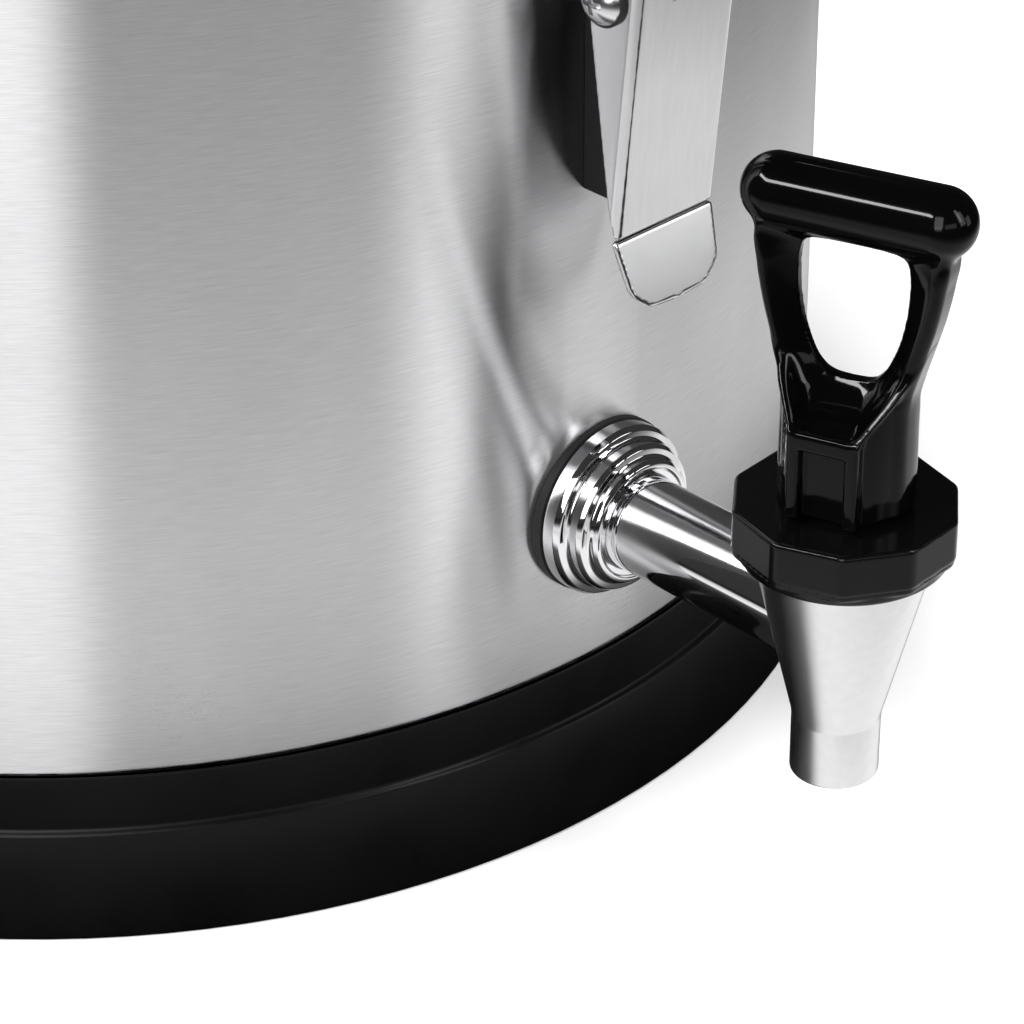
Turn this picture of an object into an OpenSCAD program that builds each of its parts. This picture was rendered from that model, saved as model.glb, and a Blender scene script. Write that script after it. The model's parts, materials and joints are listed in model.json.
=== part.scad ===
// Insulated coffee urn: double-walled stainless body on a black base, chrome tap with a D-shaped
// handle, a lid held by a toggle latch at the front and at the rear, and two drop handles.
// Origin: centre of the flat underside. +Z is up and the tap points along -Y.

/* [Body] */
// Outer radius of the steel body
body_r = 155; // [150:1:160]
// Inner radius of the vessel
vessel_r = 135; // [130:1:137]
// Height of the top edge of both shells
shell_top = 230; // [229:0.5:231]
// Thickness of both steel walls
wall = 0.8; // [0.6:0.1:0.9]

/* [Base] */
// Height of the black base
base_h = 35; // [34:0.5:36]
// Radius of the base at the table
base_foot_r = 160.5; // [159:0.1:163]
// Height of the step between the base's two bands
base_step_z = 22; // [20:0.5:24]

/* [Tap] */
// Distance of the tap's axis in front of the body's axis
tap_y = 217; // [214:1:222]
// Height of the shank's axis
shank_z = 68.4; // [68:0.1:69]
// Outer radius of the shank tube
shank_r = 9.6; // [9.4:0.1:9.7]
// Inner radius of the shank tube
shank_bore_r = 7; // [6:0.1:7.2]
// Height of the nozzle's outlet
outlet_z = 37; // [35:0.5:40]
// Outer radius of the nozzle
nozzle_r = 8.4; // [8.2:0.1:8.8]
// Height of the bonnet's upper face
bonnet_z = 95.5; // [95.3:0.1:95.6]
// Radius of the ten-sided bonnet across its corners
bonnet_r = 21.3; // [20.5:0.05:22]

/* [Tap handle] */
// Angle of the crossbar from the +X axis
handle_turn = -70.4; // [-90:0.1:0]
// Height of the crossbar's axis
crossbar_z = 155; // [154:0.1:157]
// Radius of the crossbar
crossbar_r = 6.75; // [6.4:0.05:7]
// Length of the crossbar over its round ends
crossbar_len = 44.3; // [42:0.1:46]

/* [Latches] */
// Width of the channel lever
lever_w = 26.2; // [25.6:0.1:26.8]
// Distance of the lever's fold from the body
fold_s = 15.5; // [15:0.1:16.4]
// Height of the lever's fold
fold_z = 134.1; // [133:0.1:135]
// Width of the link
link_w = 5.6; // [5:0.1:5.8]

/* [Drop handles] */
// Height of the pivots
drop_z = 196; // [192:1:198]
// Distance of the pivots from the body
drop_s = 12.5; // [12.3:0.1:14]
// Half the distance between the two legs
drop_half = 52; // [52:0.5:56]
// Radius of the rod
rod_r = 3.5; // [3:0.1:3.8]

/* [Lid] */
// Height of the cover's crown
crown_z = 261.6; // [261:0.1:263]
// Height of the lid handle's top
lid_handle_z = 294; // [290:1:300]

/* [Hidden] */
$fn = 96;
round_fn = 180;
front = 0;
rear = 180;
right = 90;
left = -90;
black = [0.04, 0.04, 0.045];
steel = [0.78, 0.78, 0.79];
zinc = [0.7, 0.7, 0.72];
silicone = [0.85, 0.85, 0.81];
foam = [0.85, 0.8, 0.62];

// Clearances
touch = 0.05;
pin_gap = 0.08;
pin_half = 10.8;

// Base
edge = 0.5;
lower_band_r = 157;
upper_band_r = 156;
base_lip_r = 155.6;
base_floor = 3;
base_wall = 2.4;
base_pocket_r = 154.6;
base_ledge_r = 150;
base_screw_r = 110;
base_screw_turns = [30, 150, 270];

// Body
pan_z = 30;
vessel_floor_z = 47;
vessel_corner = 5.4;
collar_foot = 224;
collar_top = 233.5;
collar_lip = 1.1;
shank_hole_r = shank_r + 0.2;
gasket_r = 17.9;

// Tap
neck_z = 84;
seam_z = 88;
bonnet_lip_r = 19.9;
bonnet_roof_z = 92.2;
bonnet_chamfer = 1.8;
neck_r = 16.6;
cone_foot_z = 50.5;
cone_foot_r = 8.6;
cone_slope = 0.245;
cone_wall = 1.8;
nozzle_bore_r = 6.6;
seat_z = 61.5;
port_end = 121;
nut_back = 122;
nut_t = 7;
stem_r = 3;
stem_foot_z = 63;
stem_flange_z = 69.2;
pin_r = 1.5;
pin_z = 103;
boss_r = 12.2;
handle_foot_z = 96.7;
handle_t = 10;
block_half = 6.75;
block_y = -13;
block_top = 114.3;
scoop_y = 13.5;
scoop_z = 123;
scoop_r = 8.8;
recess_half = 4.4;
recess_top = 111.1;
recess_depth = 2.2;
bonnet_corner_turn = 5.7;
function cone_r(z) = cone_foot_r + cone_slope * (z - cone_foot_z);

// Latches. Profiles are [distance from the body, height].
sheet = 1.2;
lever_lean = 0.1;
lever_top = 186;
notch_foot = 182;
notch_half = 3.7;
pivot = [14.9, 193.4];
link_pin = [12.1, 182.4];
latch_pin_r = 2;
block_w = 11;
block_foot = 138;
slot_w = 6.6;
slot_foot = [2.5, 176];
slot_head = [40, 205];
link_t = 2;
keeper_s = 9.6;
keeper_top = 226;
hook_gap = 1.2;
hook_grip = 1.2;
washer_t = 0.9;
latch_fixing_z = [148, 170];
fixing_r = 2;
tab_flare = 0.32;
tab_len = 13.4;
keeper_rivet_x = [-5, 5];
keeper_rivet_z = 233;
keeper_rivet_r = 1.6;
function lever_s(z) = fold_s + lever_lean * (z - fold_z);

// Drop handles
bend_r = 10;
drop_depth = 50;
bracket_half = 47.5;
bracket_inner = 28;
bracket_foot = 183;
bracket_top = 209;
bracket_t = 2.1;
leg_t = 6.5;
eye_r = 6.5;
rivet_turn = 12.7;
rivet_zs = [189, 203];
grip_r = 10;
grip_half = 39;

// Lid
skirt_r = 158.2;
skirt_inner_r = 156.7;
lid_foot = 220;
liner_z = 226;
liner_r = 132;
liner_flange_z = 236;
vent_y = 80;
vent_tube_r = 8;
vent_flange_z = 258.8;
lid_handle_half = 54;
lid_handle_w = 22;
pad_foot = 257.75;
pad_z = 262;
pad_r = 14.5;

module at_rim(az, r = body_r) { rotate([0, 0, az]) translate([0, -r, 0]) children(); }
module outward() { rotate([90, 0, 0]) children(); }
module at_tap() { translate([0, -tap_y, 0]) children(); }
module in_handle() { at_tap() rotate([0, 0, handle_turn]) children(); }
module ring(r_out, r_in, h) {
  difference() {
    cylinder(r = r_out, h = h);
    translate([0, 0, -1]) cylinder(r = r_in, h = h + 2);
  }
}
// Stands a [distance, height] outline up and extrudes it sideways by w, centred
module side_extrude(w) { rotate([90, 0, -90]) translate([0, 0, -w / 2]) linear_extrude(height = w) children(); }
module side_circle(p, r) { translate(p) circle(r = r); }
// Places children at a [distance, height] point with their Z along X
module across(p) { translate([0, -p[0], p[1]]) rotate([0, 90, 0]) children(); }
module cross_hole(p, r, h = 60) { across(p) cylinder(r = r, h = h, center = true); }
// Places children on a latch's cross axis at p, with +Z along turn * X
module on_latch_axis(side, turn, p) {
  rotate([0, 0, side]) translate([0, -body_r - p[0], p[1]]) rotate([0, turn * 90, 0]) children();
}
module body_solid(r) { cylinder(r = r, h = 400, $fn = round_fn); }
module dome_head(r, h) {
  ball = (r * r + h * h) / (2 * h);
  intersection() {
    cylinder(r = r, h = h);
    translate([0, 0, h - ball]) sphere(r = ball);
  }
}

// ---------- base and body ----------
module at_base_screws(z) {
  for (a = base_screw_turns) rotate([0, 0, a]) translate([base_screw_r, 0, z]) children();
}
module base_cup() {
  color(black) difference() {
    rotate_extrude($fn = round_fn) polygon([
      [0, 0], [base_foot_r - edge, 0], [base_foot_r, edge], [lower_band_r, base_step_z],
      [upper_band_r, base_step_z + edge], [upper_band_r, base_h - edge], [base_lip_r, base_h],
      [body_r + touch, base_h], [body_r + touch, pan_z], [base_ledge_r, pan_z],
      [base_ledge_r, pan_z - base_wall], [base_pocket_r - 1.4, pan_z - base_wall],
      [base_pocket_r, base_floor], [0, base_floor]
    ]);
    at_base_screws(-1) {
      cylinder(r = fixing_r + 0.2, h = 5);
      cylinder(r = 5, h = 2.9);
    }
  }
}
module base_screws() {
  color(zinc) at_base_screws(0.5) difference() {
    union() {
      cylinder(r = 4.5, h = 1.4);
      cylinder(r = fixing_r, h = 12);
    }
    cube([6, 0.9, 1.4], center = true);
    cube([0.9, 6, 1.4], center = true);
  }
}
module base_studs() {
  color(zinc) at_base_screws(base_floor) difference() {
    cylinder(r = 5, h = pan_z - base_floor);
    translate([0, 0, -1]) cylinder(r = fixing_r, h = 12);
  }
}
module wall_fixings(r, h) {
  for (side = [front, rear], z = latch_fixing_z)
    at_rim(side, body_r - 5) translate([0, 0, z]) outward() cylinder(r = r, h = h);
  for (side = [left, right], turn = [-rivet_turn, rivet_turn], z = rivet_zs)
    at_rim(side + turn, body_r - 5) translate([0, 0, z]) outward() cylinder(r = r, h = h);
}
module shank_hole(r) { translate([0, -100, shank_z]) outward() cylinder(r = r, h = 70); }
module outer_shell() {
  color(steel) difference() {
    rotate_extrude($fn = round_fn) polygon([
      [0, pan_z], [body_r, pan_z], [body_r, shell_top], [body_r - wall, shell_top],
      [body_r - wall, pan_z + wall], [0, pan_z + wall]
    ]);
    shank_hole(shank_hole_r);
    wall_fixings(fixing_r, 12);
  }
}
module inner_vessel() {
  corner_r = vessel_r - vessel_corner - 0.2;
  color(steel) difference() {
    rotate_extrude($fn = round_fn) polygon([
      [0, vessel_floor_z - wall], [corner_r + 0.4, vessel_floor_z - wall],
      [vessel_r + wall, vessel_floor_z + vessel_corner - 0.4], [vessel_r + wall, shell_top],
      [vessel_r, shell_top], [vessel_r, vessel_floor_z + vessel_corner], [corner_r, vessel_floor_z],
      [0, vessel_floor_z]
    ]);
    shank_hole(shank_hole_r);
  }
}
module foam_insulation() {
  in_r = vessel_r + wall + 0.3;
  out_r = body_r - wall - 0.3;
  foot = pan_z + wall + 0.3;
  top = collar_foot + 1.7;
  roof = vessel_floor_z - wall - 0.4;
  color(foam) difference() {
    rotate_extrude($fn = round_fn) polygon([
      [0, foot], [out_r, foot], [out_r, top], [in_r, top], [in_r, roof + 6], [in_r - 6.1, roof], [0, roof]
    ]);
    shank_hole(13.8);
    wall_fixings(4.4, 12);
  }
}
module rim_collar() {
  color(black) rotate_extrude($fn = round_fn) polygon([
    [body_r + 0.1, collar_foot], [body_r + collar_lip, collar_foot], [body_r + collar_lip, collar_top - edge],
    [body_r + collar_lip - edge, collar_top], [vessel_r - 1.4 + edge, collar_top],
    [vessel_r - 1.4, collar_top - edge], [vessel_r - 1.4, collar_foot], [vessel_r - 0.1, collar_foot],
    [vessel_r - 0.1, shell_top + touch], [vessel_r + 0.9, shell_top + touch], [vessel_r + 0.9, collar_foot + 2],
    [body_r - 0.9, collar_foot + 2], [body_r - 0.9, shell_top + touch], [body_r + 0.1, shell_top + touch]
  ]);
}

// ---------- tap ----------
module tap_gasket() {
  color(black) difference() {
    translate([0, -body_r + 3, shank_z]) outward() ring(gasket_r, shank_r, 4.2);
    body_solid(body_r);
  }
}
module tap_collar() {
  color(steel) translate([0, -body_r - 1.2, shank_z]) outward() rotate_extrude() polygon([
    [shank_r, 0], [17.4, 0], [17.6, 0.6], [17.5, 3.3], [16.9, 4.3], [15.5, 4.8], [15.2, 7.1], [14.6, 7.9],
    [13.2, 8.3], [12.9, 9.4], [12.3, 10], [11.5, 10.2], [11, 9.7], [shank_r, 9.6]
  ]);
}
module tap_cone_solid() {
  at_tap() rotate_extrude() polygon([
    [0, cone_foot_z], [cone_foot_r, cone_foot_z], [cone_r(neck_z), neck_z], [0, neck_z]
  ]);
}
module tap_shank() {
  color(steel) difference() {
    translate([0, -port_end, shank_z]) outward() ring(shank_r, shank_bore_r, tap_y - port_end);
    tap_cone_solid();
  }
}
module shank_sleeve() {
  color(silicone) difference() {
    intersection() {
      translate([0, -130, shank_z]) outward() ring(13.5, shank_r + 0.1, 30);
      body_solid(body_r - wall - touch);
    }
    body_solid(vessel_r + wall + touch);
  }
}
module shank_seal() {
  color(silicone) intersection() {
    translate([0, -nut_back - nut_t, shank_z]) outward() ring(14.5, shank_r, 8);
    body_solid(vessel_r - touch);
  }
}
module shank_nut() {
  color(zinc) translate([0, -nut_back, shank_z]) outward() difference() {
    cylinder(r = 16, h = nut_t, $fn = 6);
    translate([0, 0, -1]) cylinder(r = shank_r, h = nut_t + 2);
  }
}
module tap_body() {
  color(steel) at_tap() difference() {
    rotate_extrude() polygon([
      [nozzle_bore_r, outlet_z], [nozzle_r - 0.5, outlet_z], [nozzle_r, outlet_z + 0.5],
      [nozzle_r, cone_foot_z - 1], [cone_foot_r, cone_foot_z], [cone_r(neck_z), neck_z],
      [neck_r, neck_z], [neck_r, 91], [neck_r - 2.6, 91], [neck_r - 2.6, 80],
      [cone_r(seat_z) - cone_wall, seat_z], [nozzle_bore_r, seat_z - 4]
    ]);
    translate([0, 0, shank_z]) rotate([-90, 0, 0]) cylinder(r = shank_bore_r, h = 30);
  }
}
module bonnet() {
  color(black) at_tap() difference() {
    union() {
      rotate_extrude() polygon([
        [0, neck_z + 0.1], [bonnet_lip_r - 1, neck_z + 0.1], [bonnet_lip_r - 0.2, neck_z + 0.9],
        [bonnet_lip_r, seam_z], [0, seam_z]
      ]);
      intersection() {
        translate([0, 0, seam_z]) rotate([0, 0, bonnet_corner_turn])
          cylinder(r = bonnet_r, h = bonnet_z - seam_z, $fn = 10);
        rotate_extrude() polygon([
          [0, seam_z], [bonnet_r + 1, seam_z], [bonnet_r + 1, bonnet_z - bonnet_chamfer],
          [bonnet_r + 1 - bonnet_chamfer, bonnet_z], [0, bonnet_z]
        ]);
      }
    }
    translate([0, 0, neck_z - 1]) cylinder(r = neck_r + 0.3, h = bonnet_roof_z - neck_z + 1);
    cylinder(r = stem_r + 0.3, h = 120);
  }
}
module bonnet_seal() {
  color(black) at_tap() translate([0, 0, 91.1]) ring(16, 11, 1);
}
module swivel_washer() {
  color(steel) at_tap() translate([0, 0, bonnet_z + 0.1]) ring(8.5, stem_r + 0.3, 0.8);
}
module valve_stem() {
  color(steel) in_handle() difference() {
    union() {
      translate([0, 0, stem_foot_z]) cylinder(r = stem_r, h = pin_z + 3 - stem_foot_z);
      translate([0, 0, stem_flange_z]) cylinder(r = 8.6, h = 1.6);
    }
    translate([0, 0, pin_z]) rotate([0, 90, 0]) cylinder(r = pin_r, h = 20, center = true);
  }
}
module seat_cup() {
  cup_r = cone_r(seat_z) - cone_wall - 0.45;
  cup_top = stem_flange_z - 0.1;
  color(silicone) at_tap() difference() {
    rotate_extrude() polygon([
      [0, seat_z - 3.7], [nozzle_bore_r - 0.4, seat_z - 3.7], [cup_r, seat_z + 0.2], [cup_r, cup_top],
      [0, cup_top]
    ]);
    translate([0, 0, stem_foot_z]) cylinder(r = stem_r, h = 10);
  }
}
module valve_spring() {
  coil_foot = 71.1;
  coil_head = 91.6;
  coil_turns = 6;
  color(zinc) at_tap() translate([0, 0, coil_foot])
    linear_extrude(height = coil_head - coil_foot, twist = -360 * coil_turns, slices = 120, $fn = 8)
      translate([6.4, 0]) circle(r = 0.8);
}
module handle_pin() {
  color(zinc) in_handle() translate([0, 0, pin_z]) rotate([0, 90, 0])
    cylinder(r = pin_r, h = 2 * pin_half, center = true);
}
// Half outlines of the D and of its window, as [half width, height]
d_outline = [
  [12.1, 104], [12, 112], [12.2, 117], [13.6, 123], [14.9, 128], [16.4, 134.5], [17.6, 142],
  [18.4, 148.5], [18.4, crossbar_z]
];
window_outline = [
  [3.4, 121.2], [6, 123.6], [7.6, 127], [8.8, 130.7], [9.8, 136], [10.3, 141], [10.1, 144.5],
  [9, 146.8], [6.5, 147.5]
];
function mirrored(p) = concat(p, [for (i = [len(p) - 1:-1:0]) [-p[i][0], p[i][1]]]);
module upright_plate(outline, t) {
  rotate([90, 0, 0]) translate([0, 0, -t / 2]) linear_extrude(height = t) polygon(mirrored(outline));
}
// Round stem whose top is scooped out at the front and at the rear
module handle_neck() {
  difference() {
    translate([0, 0, handle_foot_z]) cylinder(r = boss_r, h = scoop_z - handle_foot_z);
    for (y = [-scoop_y, scoop_y]) translate([0, y, scoop_z]) rotate([0, 90, 0])
      cylinder(r = scoop_r, h = 40, center = true);
    upright_plate(window_outline, 40);
  }
}
module tap_handle() {
  bar = crossbar_len / 2 - crossbar_r;
  color(black) in_handle() difference() {
    union() {
      difference() {
        upright_plate(d_outline, handle_t);
        upright_plate(window_outline, handle_t + 10);
      }
      translate([0, 0, crossbar_z]) {
        rotate([0, 90, 0]) cylinder(r = crossbar_r, h = 2 * bar, center = true);
        for (x = [-bar, bar]) translate([x, 0, 0]) sphere(r = crossbar_r);
      }
      handle_neck();
      translate([-block_half, block_y, handle_foot_z]) cube([2 * block_half, 10, block_top - handle_foot_z]);
    }
    translate([-recess_half, block_y - 1, handle_foot_z - 1])
      cube([2 * recess_half, recess_depth + 1, recess_top - handle_foot_z + 1]);
    translate([-pin_half - 10, 0, pin_z]) rotate([0, 90, 0])
      cylinder(r = pin_r + pin_gap, h = 2 * pin_half + 10.1);
    translate([-3.8, -10, handle_foot_z - 1]) cube([7.6, 18, 11.3]);
  }
}

// ---------- latches ----------
module latch_block(side) {
  rotate([0, 0, side]) difference() {
    translate([0, -body_r, 0]) difference() {
      union() {
        side_extrude(block_w) {
          polygon([
            [-2, block_foot], [8, block_foot], [9.5, block_foot + 1.5], [12.5, 152], [12.5, 178.3],
            [8.6, 178.3], [8.6, 190],
            [pivot[0], 190], [pivot[0], 200.4], [6, 200.4], [-2, 196]
          ]);
          side_circle(pivot, 7);
        }
        across(pivot) cylinder(r = 4, h = lever_w - 2 * sheet - 0.6, center = true);
      }
      side_extrude(slot_w) polygon([
        slot_foot, [slot_head[0], slot_foot[1]], slot_head, [slot_foot[0], slot_head[1]]
      ]);
      cross_hole(pivot, latch_pin_r);
      for (z = latch_fixing_z) translate([0, 3, z]) outward() cylinder(r = fixing_r, h = 9);
    }
    body_solid(body_r + touch);
  }
}
module latch_bases() {
  color(black) for (side = [front, rear]) latch_block(side);
}
module latch_base_screws() {
  color(zinc) for (side = [front, rear], z = latch_fixing_z)
    at_rim(side, body_r - wall - 2.2) translate([0, 0, z]) outward() {
      cylinder(r = fixing_r, h = 8);
      cylinder(r = 4, h = 1.8);
    }
}
module pivot_screws() {
  inner = slot_w / 2 + 0.3;
  head = lever_w / 2 + 0.2;
  color(zinc) for (side = [front, rear], turn = [-1, 1])
    on_latch_axis(side, turn, pivot) {
      translate([0, 0, inner]) cylinder(r = latch_pin_r, h = head - inner);
      translate([0, 0, head]) dome_head(4.4, 2);
    }
}
module latch_lever(side) {
  half = lever_w / 2;
  tab_s = fold_s + tab_flare * tab_len;
  color(steel) rotate([0, 0, side]) translate([0, -body_r, 0]) difference() {
    union() {
      side_extrude(lever_w) polygon([
        [fold_s, fold_z], [lever_s(lever_top), lever_top], [lever_s(lever_top) - sheet, lever_top],
        [fold_s - sheet, fold_z]
      ]);
      for (x = [-1, 1]) translate([x * (half - sheet / 2), 0, 0]) side_extrude(sheet) {
        polygon([
          [lever_s(fold_z + 2) - sheet, fold_z + 2], [fold_s - 2, 141.6], [8.5, 177], [8.5, 181],
          [pivot[0] - 6.5, pivot[1]], [pivot[0], pivot[1]], [lever_s(lever_top) - sheet / 2, lever_top],
          [lever_s(fold_z + 2) - sheet / 2, fold_z + 2]
        ]);
        side_circle(pivot, 6.5);
      }
      intersection() {
        side_extrude(lever_w) polygon([
          [fold_s, fold_z], [tab_s, fold_z - tab_len], [tab_s - sheet, fold_z - tab_len],
          [fold_s - sheet, fold_z]
        ]);
        translate([0, 0, fold_z]) outward() linear_extrude(height = 60) polygon([
          [-half, 1], [half, 1], [half, -1], [half - 1.7, -10.4], [8, -12.6], [4, -13.2], [0, -13.4],
          [-4, -13.2], [-8, -12.6], [1.7 - half, -10.4], [-half, -1]
        ]);
      }
    }
    side_extrude(2 * notch_half) polygon([
      [pivot[0] + 2, notch_foot], [30, notch_foot], [30, lever_top + 1], [pivot[0] + 2, lever_top + 1]
    ]);
    cross_hole(pivot, latch_pin_r + pin_gap);
    cross_hole(link_pin, latch_pin_r);
  }
}
module latch_link(side) {
  s_in = link_pin[0] - link_t / 2;
  s_out = link_pin[0] + link_t / 2;
  hook_z = keeper_top + hook_gap;
  tip_s = keeper_s - hook_grip;
  color(zinc) rotate([0, 0, side]) translate([0, -body_r, 0]) difference() {
    side_extrude(link_w) {
      polygon([
        [s_in, link_pin[1]], [s_out, link_pin[1]], [s_out, hook_z + 1.4], [s_out - 0.6, hook_z + 2],
        [tip_s, hook_z + 2], [tip_s, hook_z], [s_in, hook_z]
      ]);
      side_circle(link_pin, 3.8);
    }
    cross_hole(link_pin, latch_pin_r + pin_gap);
  }
}
module link_screw(side) {
  reach = lever_w / 2 + washer_t;
  color(steel) on_latch_axis(side, -1, link_pin) difference() {
    union() {
      translate([0, 0, -reach - 2.8]) cylinder(r = latch_pin_r, h = 2 * reach + 2.8);
      translate([0, 0, reach]) dome_head(4.8, 2.8);
    }
    translate([0, 0, reach + 2.2]) cube([4.4, 1, 2.4], center = true);
    translate([0, 0, reach + 2.2]) cube([1, 4.4, 2.4], center = true);
  }
}
module link_washers(side) {
  color(black) for (turn = [-1, 1]) on_latch_axis(side, turn, link_pin)
    translate([0, 0, lever_w / 2]) ring(5.2, latch_pin_r, washer_t);
}
module link_nut(side) {
  color(steel) on_latch_axis(side, 1, link_pin) translate([0, 0, lever_w / 2 + washer_t]) difference() {
    union() {
      cylinder(r = 4.8, h = 2.4, $fn = 6);
      translate([0, 0, 2.4]) dome_head(3.8, 2.2);
    }
    translate([0, 0, -1]) cylinder(r = latch_pin_r, h = 3.8);
  }
}
module latch_lever_front() { latch_lever(front); }
module latch_lever_rear() { latch_lever(rear); }
module latch_link_front() { latch_link(front); }
module latch_link_rear() { latch_link(rear); }
module link_screw_front() { link_screw(front); }
module link_screw_rear() { link_screw(rear); }
module link_washers_front() { link_washers(front); }
module link_washers_rear() { link_washers(rear); }
module link_nut_front() { link_nut(front); }
module link_nut_rear() { link_nut(rear); }
module lid_keepers() {
  color(zinc) for (side = [front, rear]) rotate([0, 0, side]) difference() {
    translate([0, -body_r, 0]) difference() {
      side_extrude(16) polygon([
        [2, 221.5], [keeper_s, 222], [keeper_s, keeper_top], [5, keeper_top], [5, 238], [2, 238]
      ]);
      for (x = keeper_rivet_x) translate([x, 0, keeper_rivet_z]) outward()
        cylinder(r = keeper_rivet_r, h = 12);
    }
    body_solid(skirt_r + touch);
  }
}
module keeper_rivets() {
  color(zinc) for (side = [front, rear], x = keeper_rivet_x)
    rotate([0, 0, side]) translate([x, -body_r - 1.9, keeper_rivet_z]) outward() {
      cylinder(r = keeper_rivet_r, h = 3.1);
      translate([0, 0, 3.1]) dome_head(2.8, 1.2);
    }
}

// ---------- drop handles ----------
module drop_bracket(mirror_side) {
  mirror([mirror_side, 0, 0]) difference() {
    union() {
      translate([bracket_half - leg_t / 2, -body_r, 0]) side_extrude(leg_t) {
        polygon([
          [-12, bracket_foot], [drop_s, drop_z - eye_r], [drop_s, drop_z + eye_r], [-12, bracket_top]
        ]);
        side_circle([drop_s, drop_z], eye_r);
      }
      intersection() {
        translate([bracket_inner, -body_r - 15, bracket_foot])
          cube([bracket_half - bracket_inner, 60, bracket_top - bracket_foot]);
        body_solid(body_r + bracket_t);
      }
    }
    body_solid(body_r + touch);
    translate([0, -body_r, 0]) cross_hole([drop_s, drop_z], rod_r + pin_gap, 150);
    for (z = rivet_zs) at_rim(rivet_turn, body_r - 5) translate([0, 0, z]) outward()
      cylinder(r = fixing_r, h = 14);
  }
}
module handle_brackets() {
  color(zinc) for (side = [left, right], m = [0, 1]) rotate([0, 0, side]) drop_bracket(m);
}
module bracket_rivets() {
  color(zinc) for (side = [left, right], turn = [-rivet_turn, rivet_turn], z = rivet_zs)
    at_rim(side + turn, body_r - 3) translate([0, 0, z]) outward() {
      cylinder(r = fixing_r, h = 5.2);
      cylinder(r = 3.6, h = 1.6);
      translate([0, 0, 5.2]) dome_head(4, 1.8);
    }
}
module drop_handle(side) {
  $fn = 48;
  eye_end = bracket_half - 5.5;
  bend_z = bend_r - drop_depth;
  color(steel) rotate([0, 0, side]) translate([0, -body_r - drop_s, drop_z]) {
    for (m = [0, 1]) mirror([m, 0, 0]) {
      translate([drop_half, 0, bend_z]) cylinder(r = rod_r, h = -bend_z);
      translate([drop_half, 0, 0]) sphere(r = rod_r);
      translate([eye_end, 0, 0]) rotate([0, 90, 0]) cylinder(r = rod_r, h = drop_half - eye_end);
      translate([drop_half - bend_r, 0, bend_z]) rotate([90, 0, 0]) rotate([0, 0, -90])
        rotate_extrude(angle = 90) translate([bend_r, 0]) circle(r = rod_r);
    }
    translate([0, 0, -drop_depth]) rotate([0, 90, 0])
      cylinder(r = rod_r, h = 2 * (drop_half - bend_r), center = true);
  }
}
module drop_grip(side) {
  color(black) rotate([0, 0, side]) translate([0, -body_r - drop_s, drop_z - drop_depth]) rotate([0, 90, 0])
    translate([0, 0, -grip_half]) rotate_extrude() polygon([
      [rod_r, 0], [7.6, 0], [9.2, 0.8], [grip_r, 2.6], [grip_r, 2 * grip_half - 2.6],
      [9.2, 2 * grip_half - 0.8], [7.6, 2 * grip_half], [rod_r, 2 * grip_half]
    ]);
}
module handle_left() { drop_handle(left); }
module handle_right() { drop_handle(right); }
module grip_left() { drop_grip(left); }
module grip_right() { drop_grip(right); }

// ---------- lid ----------
crown = [
  [skirt_r, 240], [skirt_r - 1.7, 243.5], [152, 246], [120, 252], [80, 257.5], [40, 260.6], [0, crown_z]
];
crown_inner = [
  [0, crown_z - 3], [40, 257.6], [80, 254.5], [120, 249.2], [150, 243.4], [155, 241], [skirt_inner_r, 238.5]
];
module vent_hole(r) { translate([0, vent_y, 200]) cylinder(r = r, h = 100); }
module at_lid_handle_feet(z) {
  for (x = [-lid_handle_half, lid_handle_half]) translate([x, 0, z]) children();
}
module lid_cover() {
  color(black) difference() {
    union() {
      rotate_extrude($fn = round_fn)
        polygon(concat([[skirt_inner_r, lid_foot], [skirt_r, lid_foot]], crown, crown_inner));
      at_lid_handle_feet(pad_foot) cylinder(r = pad_r, h = pad_z - pad_foot);
    }
    vent_hole(vent_tube_r + 0.1);
    at_lid_handle_feet(240) cylinder(r = fixing_r + 0.1, h = 60);
    for (side = [front, rear], x = keeper_rivet_x)
      rotate([0, 0, side]) translate([x, -body_r + 5, keeper_rivet_z]) outward()
        cylinder(r = keeper_rivet_r, h = 20);
  }
}
module lid_liner() {
  color(steel) difference() {
    rotate_extrude($fn = round_fn) polygon([
      [0, liner_z], [liner_r, liner_z], [liner_r, liner_flange_z], [skirt_inner_r - 0.1, liner_flange_z],
      [skirt_inner_r - 0.1, liner_flange_z + wall], [liner_r - wall, liner_flange_z + wall],
      [liner_r - wall, liner_z + wall], [0, liner_z + wall]
    ]);
    vent_hole(vent_tube_r + 0.1);
  }
}
module lid_foam() {
  foot = liner_z + wall + 0.2;
  step = liner_flange_z + wall + 0.2;
  color(foam) difference() {
    rotate_extrude($fn = round_fn) polygon([
      [0, foot], [liner_r - 1, foot], [liner_r - 1, step], [150, step], [150, 243], [120, 248.8],
      [80, 254.1], [40, 257.2], [0, crown_z - 3.4]
    ]);
    vent_hole(vent_tube_r + 0.3);
    at_lid_handle_feet(240) cylinder(r = 4.4, h = 60);
  }
}
module lid_gasket() {
  color(silicone) translate([0, 0, collar_top + 0.1])
    ring(147, 139, liner_flange_z - collar_top - 0.1, $fn = round_fn);
}
module lid_handle() {
  top = lid_handle_z;
  color(black) difference() {
    rotate([90, 0, 0]) translate([0, 0, -lid_handle_w / 2]) linear_extrude(height = lid_handle_w) difference() {
      polygon(mirrored([[63, pad_z], [61.5, 272], [56, top - 9], [46, top - 2], [30, top]]));
      polygon(mirrored([[45, pad_z - 1], [43.5, 272], [40, top - 15], [33, top - 11.5], [20, top - 10.5]]));
    }
    at_lid_handle_feet(pad_z - 1) cylinder(r = fixing_r, h = 10);
  }
}
module lid_handle_screws() {
  color(zinc) at_lid_handle_feet(252.6) {
    cylinder(r = 4, h = 2.2);
    cylinder(r = fixing_r, h = 18);
  }
}
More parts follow.
